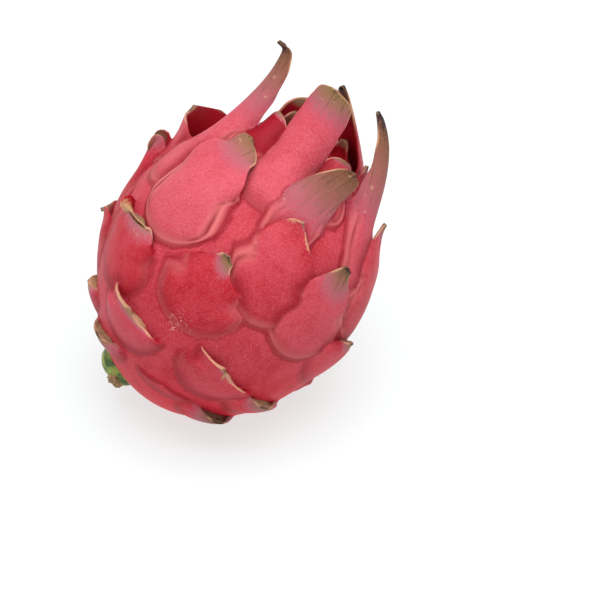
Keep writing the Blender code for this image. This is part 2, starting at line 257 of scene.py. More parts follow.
# The scales that grew unlike the rule, by their number in the spiral. Their shapes are as in the CAD.
UNLIKE = {
    1: dict(turn=10, latitude=7, length=17 * MM, bend=-15, curl=-25, tip=1.6 * MM, dry=11 * MM, pale=0.0),
    3: dict(latitude=10, turn=-4, pale=0.4),
    4: dict(length=9 * MM, leave=0.98, bend=0, curl=0, dome=0.8 * MM, loose=0.0),
    6: dict(length=9 * MM, leave=0.98, bend=0, curl=0, dome=0.8 * MM, loose=0.0),
    8: dict(turn=-3, latitude=3, bend=-5, dry=9 * MM, pale=0.8),
    11: dict(turn=-2, latitude=-5, length=20 * MM, taper=0.6, tip=11 * MM, skew=3.4 * MM, bend=-12,
             curl=-8, cup=14 * MM, dry=4.5 * MM, pale=0.6, rim=0.8 * MM),
    13: dict(turn=20, latitude=-4, length=34 * MM, leave=0.6, bend=-40, curl=0, hook=-90, hook_at=0.5,
             hook_span=0.3, tip=1.6 * MM, taper=0.9, dry=9 * MM),
    14: dict(turn=-2, latitude=-15, length=20 * MM, taper=0.5, tip=13 * MM, skew=4 * MM, bend=-6, curl=-4,
             cup=14 * MM, dry=2.5 * MM, pale=0.8, rim=1.4 * MM),
    16: dict(turn=12, latitude=-4, length=34 * MM, leave=0.6, bend=-10, curl=0, hook=-230, hook_at=0.35,
             hook_span=0.6, tip=4 * MM, taper=0.9, skew=3 * MM, dry=15 * MM, pale=0.8, bloom=0.0),
    19: dict(turn=4, latitude=-3.5, length=27 * MM, curl=-25, taper=2.6, tip=2 * MM, skew=2 * MM,
             dry=10 * MM, bloom=0.15),
    21: dict(latitude=-3, length=38 * MM, leave=0.35, bend=-25, curl=0, hook=-155, hook_at=0.58,
             cup=3.4 * MM, tip=3.4 * MM, dry=17 * MM, pale=0.0, bloom=0.2),
    22: dict(latitude=-1, length=29 * MM, tip=1.8 * MM, taper=1.7, curl=-20, slant=4, dry=16 * MM,
             pale=0.1),
    24: dict(turn=5, length=40 * MM, drop=2.5 * MM, leave=0.8, bend=-10, curl=0, taper=1.0, tip=5.2 * MM,
             dome=3.9 * MM, cup=10 * MM, skew=1.5 * MM, dry=15 * MM, bloom=1.0, edge=1.3, pale=0.15),
    25: dict(turn=-16, length=34.6 * MM, leave=0.5, bend=12, curl=-50, tip=1 * MM, dry=9 * MM),
    26: dict(length=38 * MM, leave=0.45, bend=-5, cup=9 * MM, dry=20 * MM),
    27: dict(turn=7, latitude=-12, length=30 * MM, leave=0.7, bend=-15, curl=-40, taper=1.2, skew=3 * MM,
             dry=3 * MM, pale=0.6, rim=1.3 * MM),
    28: dict(length=29 * MM, leave=0.3, cup=9 * MM, dry=10 * MM),
    29: dict(turn=9, length=59 * MM, leave=0.12, bend=-12, curl=-40, taper=0.55, half_width=11 * MM,
             tip=0.8 * MM, cup=5 * MM, hook=-60, hook_at=0.82, hook_span=0.16, skew=0, dry=38 * MM,
             pale=0.0, bloom=1.0),
    30: dict(length=51 * MM, leave=0.1, flare=21, bend=31, curl=0, taper=0.85, half_width=10.5 * MM,
             tip=1.3 * MM, cup=6 * MM, dry=42 * MM, pale=0.0, bloom=0.8),
    31: dict(length=35 * MM, leave=0.25, bend=-30, taper=0.45, half_width=13 * MM, tip=6 * MM, cup=11 * MM,
             dry=6 * MM),
    32: dict(turn=14, length=47 * MM, drop=1.5 * MM, leave=0.2, bend=-38, curl=-30, taper=0.5, cup=9 * MM,
             half_width=10.5 * MM, tip=5 * MM, dry=15 * MM, dome=3.4 * MM, bloom=0.9, edge=0.5, pale=0.4),
    33: dict(turn=6, length=52 * MM, leave=0.15, bend=8, taper=0.7, half_width=13 * MM, tip=2 * MM,
             cup=14 * MM, dry=14 * MM, pale=0.0),
    34: dict(latitude=-20, length=20 * MM, leave=0.1, bend=-42, taper=0.5, cup=20 * MM, half_width=19 * MM,
             tip=10 * MM, skew=2.5 * MM, dry=1.5 * MM),
    35: dict(turn=-19, latitude=-15, length=29 * MM, leave=0.3, bend=-35, taper=0.7, slant=22,
             half_width=9.5 * MM, tip=3 * MM, dry=30 * MM, pale=0.0),
    36: dict(length=15 * MM, leave=0.2, bend=-40, cup=8 * MM, dry=4 * MM),
    37: dict(turn=12, latitude=-9, length=23 * MM, leave=0.3, bend=-30, half_width=8 * MM, tip=4 * MM,
             taper=0.6, cup=6 * MM, dry=2.5 * MM, bloom=-0.9),
    38: dict(length=14 * MM, leave=0.2, bend=-40, half_width=8 * MM, cup=6 * MM, dry=4 * MM),
    39: dict(length=13 * MM, leave=0.2, bend=-40, half_width=8 * MM, cup=6 * MM),
    40: dict(turn=32, latitude=-13, length=17 * MM, leave=0.2, bend=-40, half_width=8 * MM, tip=4 * MM,
             taper=0.6, cup=6 * MM, dry=2.5 * MM),
    41: dict(length=12 * MM, leave=0.2, bend=-40, half_width=7 * MM, cup=6 * MM, dry=4 * MM),
}


def smooth_step(low, high, value):
    share = min(max((value - low) / (high - low), 0.0), 1.0)
    return share * share * (3.0 - 2.0 * share)


def mix(first, second, share):
    return first + (second - first) * share


def soft_least(first, second, softness):
    """The smaller of two lengths, with the corner between them rounded."""
    lower = min(first, second)
    spread = math.exp((lower - first) / softness) + math.exp((lower - second) / softness)
    return lower - softness * math.log(spread)


def bell(centre, spread, value):
    return math.exp(-((value - centre) / spread) ** 2)


def ripple(*place):
    """Smooth noise between about -1 and 1."""
    return noise.noise(Vector(place))


def body_point(latitude):
    """The body's radius and height at a latitude, without the navel. It narrows towards its base."""
    narrowed = 1.0 + BASE_TAPER * min(math.sin(latitude), 0.0)
    return BODY_RADIUS * math.cos(latitude) * narrowed, BODY_HALF_LENGTH * math.sin(latitude)


def body_slope(latitude):
    """How fast the body's radius and height change with the latitude."""
    sine, cosine = math.sin(latitude), math.cos(latitude)
    narrowed = 1.0 + BASE_TAPER * min(sine, 0.0)
    narrowing = BASE_TAPER * cosine if sine < 0 else 0.0
    return BODY_RADIUS * (cosine * narrowing - sine * narrowed), BODY_HALF_LENGTH * cosine


def body_lean(latitude):
    """How far the body's meridian leans inward: 0 at the equator, a right angle at the crown."""
    outward, upward = body_slope(latitude)
    return math.atan2(-outward, upward)


def fruit_placement():
    """The matrix that lays the fruit down, with its lowest body point over the origin."""
    turned = (Matrix.Rotation(LEAN_TOWARDS, 4, "Z")
              @ Matrix.Rotation(LEAN, 4, "Y")
              @ Matrix.Rotation(SPIN, 4, "Z"))
    down = turned.to_3x3().transposed() @ Vector((0.0, 0.0, -1.0))
    outward = Vector((down.x, down.y, 0.0)).normalized()
    profile = [body_point(math.radians(step / 10)) for step in range(-900, 901)]
    meridian = [outward * radius + Vector((0.0, 0.0, height)) for radius, height in profile]
    lowest = turned.to_3x3() @ max(meridian, key=down.dot)
    return Matrix.Translation(-lowest + Vector((0.0, 0.0, BASE_DOME - RESTING_DEPTH))) @ turned


PLACEMENT = fruit_placement()


# The camera, the light and the table

def view_axes():
    """Right, up and towards the camera, in the world."""
    right = Vector((1.0, 0.0, 0.0))
    up = Vector((0.0, math.sin(CAMERA_HEIGHT), math.cos(CAMERA_HEIGHT)))
    towards = Vector((0.0, -math.cos(CAMERA_HEIGHT), math.sin(CAMERA_HEIGHT)))
    return right, up, towards


def place_camera():
    right, up, towards = view_axes()
    axis = PLACEMENT.to_3x3() @ Vector((0.0, 0.0, 1.0))
    seen_centre = PLACEMENT.translation + axis * SEEN_SHIFT
    half = PHOTO_PIXELS / 2
    aim = seen_centre + right * (half - FRUIT_PIXEL[0]) * PIXEL - up * (half - FRUIT_PIXEL[1]) * PIXEL
    data = bpy.data.cameras.new("photo_camera")
    data.sensor_width = SENSOR_WIDTH
    data.lens = data.sensor_width * CAMERA_DISTANCE / (PHOTO_PIXELS * PIXEL)
    data.clip_start = 0.01
    camera = bpy.data.objects.new("photo_camera", data)
    camera.matrix_world = (Matrix.Translation(aim + towards * CAMERA_DISTANCE)
                           @ Matrix((right, up, towards)).transposed().to_4x4())
    bpy.context.scene.collection.objects.link(camera)
    bpy.context.scene.camera = camera


def add_softbox(name, place, aim, size, power):
    data = bpy.data.lights.new(name, "AREA")
    data.shape = "DISK"
    data.size = size
    data.energy = power
    light = bpy.data.objects.new(name, data)
    light.location = place
    direction = Vector(aim) - Vector(place)
    light.rotation_euler = direction.to_track_quat("-Z", "Y").to_euler()
    bpy.context.scene.collection.objects.link(light)


def light_the_table():
    world = bpy.data.worlds.new("white_room")
    world.use_nodes = True
    background = world.node_tree.nodes["Background"]
    background.inputs["Color"].default_value = (1.0, 1.0, 1.0, 1.0)
    background.inputs["Strength"].default_value = WORLD_LIGHT
    bpy.context.scene.world = world
    add_softbox("key_softbox", SOFTBOX_PLACE, SOFTBOX_AIM, SOFTBOX_SIZE, SOFTBOX_POWER)
    bpy.context.scene.view_settings.view_transform = "Standard"
    bpy.context.scene.view_settings.look = "None"


def lay_table():
    work = bmesh.new()
    bmesh.ops.create_grid(work, x_segments=1, y_segments=1, size=TABLE_HALF_SIZE)
    mesh = bpy.data.meshes.new("white_table")
    work.to_mesh(mesh)
    work.free()
    table = bpy.data.objects.new("white_table", mesh)
    bpy.context.scene.collection.objects.link(table)
    finish = Finish("white_table")
    finish.shader.inputs["Base Color"].default_value = (*TABLE_COLOUR, 1.0)
    finish.shader.inputs["Emission Color"].default_value = (1.0, 1.0, 1.0, 1.0)
    finish.shader.inputs["Emission Strength"].default_value = TABLE_GLOW
    finish.shader.inputs["Roughness"].default_value = TABLE_ROUGHNESS
    finish.shader.inputs["Specular IOR Level"].default_value = TABLE_SPECULAR
    mesh.materials.append(finish.material)


# Shader maths

class Amount:
    """A number's socket in a material. Python's arithmetic on it adds Math nodes."""

    def __init__(self, finish, socket):
        self.finish = finish
        self.socket = socket

    def maths(self, operation, *values):
        return self.finish.amount("ShaderNodeMath", dict(operation=operation), dict(enumerate(values)))

    def __add__(self, other):
        return self.maths("ADD", self, other)

    __radd__ = __add__

    def __sub__(self, other):
        return self.maths("SUBTRACT", self, other)

    def __rsub__(self, other):
        return self.maths("SUBTRACT", other, self)

    def __mul__(self, other):
        return self.maths("MULTIPLY", self, other)

    __rmul__ = __mul__

    def step(self, low, high):
        """0 below low and 1 above high, smooth between."""
        return self.finish.amount("ShaderNodeMapRange", dict(interpolation_type="SMOOTHSTEP"),
                                  {"Value": self, "From Min": low, "From Max": high})


class Finish:
    """A material with one Principled shader."""

    def __init__(self, name):
        self.material = bpy.data.materials.new(name)
        self.material.use_nodes = True
        self.tree = self.material.node_tree
        self.shader = self.tree.nodes["Principled BSDF"]

    def node(self, kind, settings, values):
        node = self.tree.nodes.new(kind)
        for name, setting in settings.items():
            if name == "stops":
                self.set_stops(node.color_ramp, setting)
            else:
                setattr(node, name, setting)
        for name, value in values.items():
            self.feed(node.inputs[name], value)
        return node

    def set_stops(self, ramp, stops):
        for place, colour in stops[len(ramp.elements):]:
            ramp.elements.new(place)
        for element, (place, colour) in zip(ramp.elements, stops):
            element.position = place
            element.color = (*colour, 1.0)

    def feed(self, socket, value):
        if isinstance(value, Amount):
            value = value.socket
        if isinstance(value, bpy.types.NodeSocket):
            self.tree.links.new(value, socket)
        elif socket.type == "RGBA" and len(value) == 3:
            socket.default_value = (*value, 1.0)
        else:
            socket.default_value = value

    def amount(self, kind, settings, values, output=0):
        return Amount(self, self.node(kind, settings, values).outputs[output])

    def painted(self, name):
        """A value that is stored on the mesh."""
        return self.amount("ShaderNodeAttribute", dict(attribute_name=name), {}, "Fac")

    def place(self):
        return self.node("ShaderNodeTexCoord", {}, {}).outputs["Object"]

    def vector(self, x, y, z):
        return self.node("ShaderNodeCombineXYZ", {}, {0: x, 1: y, 2: z}).outputs[0]

    def clouds(self, place, scale, detail=2.0, roughness=0.5):
        return self.amount("ShaderNodeTexNoise", {},
                           {"Vector": place, "Scale": scale, "Detail": detail, "Roughness": roughness})

    def blend(self, share, first, second):
        """One colour over another."""
        node = self.tree.nodes.new("ShaderNodeMix")
        node.data_type = "RGBA"
        self.feed(node.inputs[0], share)
        self.feed(node.inputs[6], first)
        self.feed(node.inputs[7], second)
        return node.outputs[2]

    def ramp(self, share, stops):
        return self.node("ShaderNodeValToRGB", dict(stops=stops), {0: share}).outputs[0]

    def bump(self, height, distance, strength):
        values = {"Height": height, "Distance": distance, "Strength": strength}
        return self.node("ShaderNodeBump", {}, values).outputs[0]

    def colour(self, value):
        self.feed(self.shader.inputs["Base Color"], value)

    def set(self, **values):
        for name, value in values.items():
            self.feed(self.shader.inputs[name.replace("_", " ")], value)


# The fruit

class Scale:
    """One scale: where it grows, how long and wide it is, and how it leaves the body."""

    def __init__(self, number):
        rise = number / (SCALES - 1)
        own = {**USUAL, **UNLIKE.get(number, {})}
        self.number = number
        self.turn = math.radians(FIRST_TURN + GOLDEN_ANGLE * number + own["turn"])
        latitude = FIRST_LATITUDE + LATITUDE_STEP * number + own["latitude"]
        drop = own.get("drop", BASE_DROP * smooth_step(0.3, 0.6, rise))
        self.latitude = math.radians(latitude) - drop / BODY_HALF_LENGTH
        length = own.get("length", mix(*LENGTHS, smooth_step(0.0, 0.75, rise)) * MM)
        self.length = length + drop
        middle = math.radians(min(latitude + MIDDLE_RISE, HIGHEST_MIDDLE))
        self.half_width = own.get("half_width", FULL_WIDTH * math.sqrt(math.cos(middle)))
        self.widest = min(WIDEST_SHARE, WIDEST / self.length)
        self.leave = 1.0 - (1.0 - own["leave"]) * length / self.length
        self.bend = math.radians(own["bend"])
        self.curl = math.radians(own.get("curl", -45 if number < LOW_SCALES else 0))
        self.hook = math.radians(own["hook"])
        self.hook_at = own["hook_at"]
        self.hook_span = own["hook_span"]
        self.flare = math.radians(own["flare"])
        self.taper = own["taper"]
        self.tip = own["tip"]
        self.cup = own["cup"]
        self.dome = own["dome"]
        self.loose = own["loose"]
        usual_skew = mix(-0.5, 1.5, 0.5 + 0.5 * ripple(number * 1.7, 4.2, 0.0)) * MM
        self.skew = own.get("skew", usual_skew)
        self.slant = math.radians(own.get("slant", 5.0 * ripple(number * 3.1, 2.7, 0.0)))
        self.edge = own.get("edge", mix(0.3, 1.0, smooth_step(0.4, 0.56, rise)))
        self.dry = own["dry"]
        self.rim = own["rim"]
        self.pale = own["pale"]
        self.char = 1.0 if self.tip < 2.5 * MM else 0.85
        self.bloom = own.get("bloom", 0.5 + 0.6 * ripple(number * 2.3, 9.1, 0.0))
        self.spine = self.trace_spine()

    def trace_spine(self):
        """Radius, height and lean along the middle of the scale, at equal steps."""
        step = self.length / SPINE_STEPS
        latitude = self.latitude
        radius, height = body_point(latitude)
        lean = body_lean(latitude)
        leaving_lean = lean
        points = []
        for index in range(SPINE_STEPS + 1):
            points.append((radius, height, lean))
            share = index / SPINE_STEPS
            if share < self.leave:
                latitude += step / math.hypot(*body_slope(latitude))
                radius, height = body_point(latitude)
                lean = body_lean(latitude)
                leaving_lean = lean
            else:
                free = (share - self.leave) / (1.0 - self.leave)
                lean = leaving_lean + self.bend * free + self.curl * free ** 3
                lean += self.hook * smooth_step(self.hook_at, self.hook_at + self.hook_span, free)
                lean -= self.flare * math.sin(math.pi * free)
                radius -= step * math.sin(lean)
                height += step * math.cos(lean)
        return points

    def spine_at(self, share):
        place = min(max(share, 0.0), 1.0) * (len(self.spine) - 1)
        index = min(int(place), len(self.spine) - 2)
        first = self.spine[index]
        second = self.spine[index + 1]
        return [mix(a, b, place - index) for a, b in zip(first, second)]

    def half_width_at(self, share):
        """Half the width, with a wavy margin and a rounded tip."""
        past = min(max((share - self.widest) / (1.0 - self.widest), 0.0), 1.0)
        width = mix(self.tip, self.half_width, (1.0 - past) ** self.taper)
        wavy = 1.0 + WAVE_HEIGHT * ripple(share * self.length / WAVE_LENGTH, self.number * 3.7, 0.0)
        rounding = min((1.0 - share) * self.length / (TIP_ROUNDING * self.tip), 1.0)
        return width * wavy * math.sqrt(max(1.0 - (1.0 - rounding) ** 2, LEAST_END))

    def along_at(self, share, side):
        """How far along the spine a point lies. The base is round, and one margin may sit lower."""
        depth = min(self.half_width * BASE_WIDTH_SHARE, self.length * BASE_LENGTH_SHARE) / self.length
        arc = 1.0 - math.sqrt(1.0 - BASE_ARC * side ** 2)
        along = share + (1.0 - share) * depth * arc / BASE_ARC_DEPTH
        return along - self.skew / self.length * side * smooth_step(0.1, 0.7, share)

    def base_distance(self, share, side, half_width):
        """How far a point lies from the outline round the base. Higher up the margins don't count."""
        release = MARGIN_RELEASE * smooth_step(0.4, 0.8, share)
        from_margin = (1.0 - abs(side)) * half_width + release
        return max(soft_least(share * self.length, from_margin, BASE_CORNER), 0.0)

    def rise_at(self, share, side, half_width, from_base, groove):
        """How high the outer face stands over the body: a ridge, a groove inside it, then the dome."""
        skirt = SKIRT_RISE * self.edge
        size = min(self.half_width / FULL_WIDTH, 1.0)
        rise = skirt * (1.0 - math.exp(-from_base / SKIRT_FALL)) - BASE_SINK
        climb = smooth_step(-0.15, 0.85, share)
        rise += (self.dome + BASE_SINK - skirt) * climb * (1.0 - math.exp(-from_base / (DOME_FALL * size)))
        rise -= GROOVE_DEPTH * groove
        fibres = ripple(side * half_width / FIBRE_WIDTH, share * self.length / FIBRE_LENGTH,
                        self.number * 5.1)
        return rise + FIBRE_DEPTH * fibres * smooth_step(0.3, 0.9, share)

    def place(self, share, side, inward):
        """A point of the scale and its paint. Inward is 0 on the outer face, 1 on the inner one and between
        on the rim."""
        along = self.along_at(share, side)
        radius, height, lean = self.spine_at(along)
        free = min(max((along - self.leave) / (1.0 - self.leave), 0.0), 1.0)
        half_width = self.half_width_at(share)
        from_base = self.base_distance(share, side, half_width)
        groove = bell(SKIRT_WIDTH, GROOVE_WIDTH, from_base) * self.edge
        rise = self.rise_at(share, side, half_width, from_base, groove)

        body_curve = math.cos(lean) / max(radius, LEAST_RADIUS)
        curve = mix(body_curve, 1.0 / self.cup, smooth_step(0.0, 0.5, free))
        angle = side * half_width * curve
        turn = self.turn + self.slant * share ** 2
        outward = Vector((math.cos(turn), math.sin(turn), 0.0))
        sideways = Vector((-math.sin(turn), math.cos(turn), 0.0))
        normal = outward * math.cos(lean) + Vector((0.0, 0.0, 1.0)) * math.sin(lean)
        middle = outward * radius + Vector((0.0, 0.0, height))
        point = middle + sideways * math.sin(angle) / curve
        facing = normal * math.cos(angle) + sideways * math.sin(angle)
        point += normal * (rise - (1.0 - math.cos(angle)) / curve)

        margin_free = self.loose * smooth_step(0.4, 0.75, share) * smooth_step(0.5, 1.0, abs(side))
        rooted = (1.0 - smooth_step(-0.1, 0.25, along - self.leave)) * (1.0 - margin_free)
        blade = mix(BLADE_THICKNESS, RIM_THICKNESS, abs(side) ** 2)
        thickness = mix(blade, rise + ROOT_DEPTH, rooted)
        if inward == 0.5:
            point += sideways * math.copysign(1.0, side) * RIM_THICKNESS * 0.4
        point -= facing * thickness * inward
        return point, self.paint_at(share, side, inward, half_width, from_base, groove)

    def paint_at(self, share, side, inward, half_width, from_base, groove):
        """What is painted at a point, in the order of PAINTS."""
        from_rim = (1.0 - abs(side)) * half_width + 30 * MM * (1.0 - smooth_step(0.2, 0.5, share))
        from_tip = (1.0 - share) * self.length
        dryness = max(1.0 - from_tip / self.dry, 0.0) * self.loose * self.char
        rim = self.loose * math.exp(-from_rim / self.rim) * smooth_step(0.6, 0.85, share)
        # The ridge round the base, painted paler: partly the skin's own colour, partly a painted highlight.
        band = smooth_step(5.0 * MM, 2.5 * MM, from_base) * smooth_step(0.4 * MM, 2.0 * MM, from_base)
        return (dryness, rim, band * self.edge, groove, smooth_step(0.3, 0.8, inward),
                side * half_width / MM + self.number * 37.0, share * self.length / MM, self.number + 1,
                self.pale, mix(BODY_BLOOM, self.bloom, smooth_step(1.0 * MM, 5.0 * MM, from_base)))

    def section(self, share):
        """The loop round the scale at one share of its length, as points with their paints."""
        columns = range(-HALF_COLUMNS, HALF_COLUMNS + 1)
        sides = [math.sin(math.pi / 2 * column / HALF_COLUMNS) for column in columns]
        outer = [self.place(share, side, 0.0) for side in sides]
        inner = [self.place(share, side, 1.0) for side in reversed(sides)]
        return outer + [self.place(share, 1.0, 0.5)] + inner + [self.place(share, -1.0, 0.5)]


# What is painted on the skin: how dry it is, the pale rim, the ridge round a scale's base, whose paler
# colour is partly the skin's own and partly a painted highlight, the groove inside it, darkened as painted
# shade, the inner face, the place in millimetres across and along the scale, whose skin it is, and the
# scale's pale and bloom.
PAINTS = ("dryness", "rim", "band", "groove", "inside", "across", "along", "owner", "pale", "bloom")


def paint_corners(mesh, paints):
    """Stores what is painted at each vertex on the corners round it, so that a union keeps it."""
    corners = np.zeros(len(mesh.loops), dtype=np.int32)
    mesh.loops.foreach_get("vertex_index", corners)
    for index, name in enumerate(PAINTS):
        layer = mesh.attributes.new(name, "FLOAT", "CORNER")
        layer.data.foreach_set("value", paints[corners, index].astype(np.float32))


def shape_scale(number, collection):
    """A scale as a closed blade. Its rows lie closer together towards the tip."""
    scale = Scale(number)
    rows = max(int(scale.length / ROW_STEP), FEWEST_ROWS)
    loops = []
    for row in range(rows + 1):
        share = row / rows
        loops.append(scale.section(mix(share, math.sin(math.pi / 2 * share), TIP_CROWDING)))
    around = len(loops[0])
    points = [point for loop in loops for point, paint in loop]
    paints = np.array([paint for loop in loops for point, paint in loop])
    faces = []
    for row in range(rows):
        for index in range(around):
            after = (index + 1) % around
            faces.append((row * around + index, row * around + after,
                          (row + 1) * around + after, (row + 1) * around + index))
    faces.append(tuple(reversed(range(around))))
    faces.append(tuple(rows * around + index for index in range(around)))
    mesh = bpy.data.meshes.new(f"scale_{number:02d}")
    mesh.from_pydata(points, [], faces)
    mesh.update()
    paint_corners(mesh, paints)
    obj = bpy.data.objects.new(mesh.name, mesh)
    collection.objects.link(obj)
    return obj


def shape_body():
    """The egg-shaped body, sunk a little at the crown."""
    paints = []
    work = bmesh.new()
    bmesh.ops.create_uvsphere(work, u_segments=BODY_SIDES, v_segments=BODY_RINGS, radius=1.0)
    for vert in work.verts:
        latitude = math.asin(min(max(vert.co.z, -1.0), 1.0))
        turn = math.atan2(vert.co.y, vert.co.x)
        radius, height = body_point(latitude)
        if latitude > 0:
            height -= NAVEL_DEPTH * math.exp(-(radius / NAVEL_RADIUS) ** 2)
        vert.co = (radius * math.cos(turn), radius * math.sin(turn), height)
        across, along = turn * radius / MM, latitude * BODY_HALF_LENGTH / MM
        paints.append((0, 0, 0, 0, 0, across, along, 0, USUAL["pale"], BODY_BLOOM))
    mesh = bpy.data.meshes.new("fruit_skin")
    work.to_mesh(mesh)
    work.free()
    paint_corners(mesh, np.array(paints, dtype=float))
    obj = bpy.data.objects.new("fruit_skin", mesh)
    bpy.context.scene.collection.objects.link(obj)
    return obj


def apply_modifiers(obj):
    depsgraph = bpy.context.evaluated_depsgraph_get()
    mesh = bpy.data.meshes.new_from_object(obj.evaluated_get(depsgraph))
    obj.modifiers.clear()
    mesh.name = obj.name
    obj.data = mesh


def add_union(obj, collection):
    """Joins everything in a collection to an object, and clears the collection away."""
    union = obj.modifiers.new("Union", "BOOLEAN")
    union.operation = "UNION"
    union.operand_type = "COLLECTION"
    union.collection = collection
    union.solver = "MANIFOLD"
    apply_modifiers(obj)
    for joined in list(collection.objects):
        bpy.data.objects.remove(joined, do_unlink=True)
    bpy.data.collections.remove(collection)


def cut_flat(obj):
    """Cuts off what lies under the surface that the fruit rests on."""
    work = bmesh.new()
    bmesh.ops.create_cube(work, size=CUTTER_SIZE)
    bmesh.ops.translate(work, verts=work.verts, vec=(0.0, 0.0, -CUTTER_SIZE / 2))
    mesh = bpy.data.meshes.new("under_the_surface")
    work.to_mesh(mesh)
    work.free()
    under = bpy.data.objects.new("under_the_surface", mesh)
    bpy.context.scene.collection.objects.link(under)
    cut = obj.modifiers.new("Flat", "BOOLEAN")
    cut.operation = "DIFFERENCE"
    cut.object = under
    cut.solver = "MANIFOLD"
    apply_modifiers(obj)
    bpy.data.objects.remove(under, do_unlink=True)


class Skin:
    """The fruit's mesh as arrays: where its vertices and edges are, and whose skin they lie on."""

    def __init__(self, mesh):
        self.mesh = mesh
        self.count = len(mesh.vertices)
        places = np.zeros(self.count * 3)
        mesh.vertices.foreach_get("co", places)
        self.places = places.reshape(-1, 3)
        edges = np.zeros(len(mesh.edges) * 2, dtype=np.int64)
        mesh.edges.foreach_get("vertices", edges)
        self.edges = edges.reshape(-1, 2)
        first, second = self.edges.T
        self.lengths = np.linalg.norm(self.places[first] - self.places[second], axis=1)
        corners = np.zeros(len(mesh.loops), dtype=np.int64)
        mesh.loops.foreach_get("vertex_index", corners)
        owner = np.zeros(len(mesh.loops))
        mesh.attributes["owner"].data.foreach_get("value", owner)
        owner = np.round(owner)
        oldest = np.full(self.count, np.inf)
        self.youngest = np.full(self.count, -np.inf)
        np.minimum.at(oldest, corners, owner)
        np.maximum.at(self.youngest, corners, owner)
        self.on_crease = self.youngest > oldest

    def ways(self):
        """Both ways along every edge, as the vertices at its two ends."""
        first, second = self.edges.T
        return (second, first), (first, second)

    def crease_distance(self):
        """How far each vertex lies from the nearest crease, where it is near one."""
        reach = np.where(self.on_crease, 0.0, FAR)
        for step in range(REACH_STEPS):
            for start, end in self.ways():
                np.minimum.at(reach, end, reach[start] + self.lengths)
        return reach

    def valley_distance(self):
        """The same, but only on the younger of the two scales that meet in the crease."""
        under = np.full(self.count, FAR)
        for step in range(VALLEY_STEPS):
            for end, start in self.ways():
                candidate = np.where(self.on_crease[start], 0.0, under[start]) + self.lengths
                same_scale = ~self.on_crease[start] | (self.youngest[start] == self.youngest[end])
                allowed = ~self.on_crease[end] & same_scale
                np.minimum.at(under, end[allowed], candidate[allowed])
        return under

    def smooth(self, weight):
        """Moves each vertex towards the middle of its neighbours, as far as its weight says."""
        degree = np.bincount(self.edges.ravel(), minlength=self.count)[:, None]
        for step in range(CREASE_STEPS):
            total = np.zeros_like(self.places)
            for start, end in self.ways():
                np.add.at(total, end, self.places[start])
            self.places += (total / degree - self.places) * weight[:, None]
        self.mesh.vertices.foreach_set("co", self.places.ravel())
        self.mesh.update()

    def paint(self, name, values):
        layer = self.mesh.attributes.new(name, "FLOAT", "POINT")
        layer.data.foreach_set("value", values.astype(np.float32))


def soften_creases(obj):
    """Rounds the creases where one scale meets another, and paints the shade in and beside them."""
    skin = Skin(obj.data)
    reach = skin.crease_distance()
    under = skin.valley_distance()
    skin.smooth(np.clip(1.0 - reach / CREASE_REACH, 0.0, 1.0) * CREASE_SMOOTHING)
    # Painted shade beside each crease on the younger scale, and in the crease itself, fainter on the low
    # scales.
    skin.paint("valley", np.where(skin.on_crease, CREASE_VALLEY, np.exp(-(under / VALLEY_REACH) ** 2)))
    shade = np.exp(-(reach / CREASE_SHADE) ** 2)
    skin.paint("crease", shade * np.where(skin.youngest > LOW_SCALES - 4, 1.0, LOW_CREASE_SHADE))


def grow_fruit():
    """The body and its scales as one skin, cut flat where it lies."""
    fruit = shape_body()
    scales = bpy.data.collections.new("scales")
    bpy.context.scene.collection.children.link(scales)
    for number in range(SCALES):
        shape_scale(number, scales)
    add_union(fruit, scales)
    soften_creases(fruit)
    fruit.data.transform(PLACEMENT)
    cut_flat(fruit)
    return fruit


def scuff_place():
    """The middle of the pale scuff on the body's front, in the fruit's resting place."""
    radius, height = body_point(math.radians(SCUFF_LATITUDE))
    turn = math.radians(SCUFF_TURN)
    return PLACEMENT @ Vector((radius * math.cos(turn), radius * math.sin(turn), height))


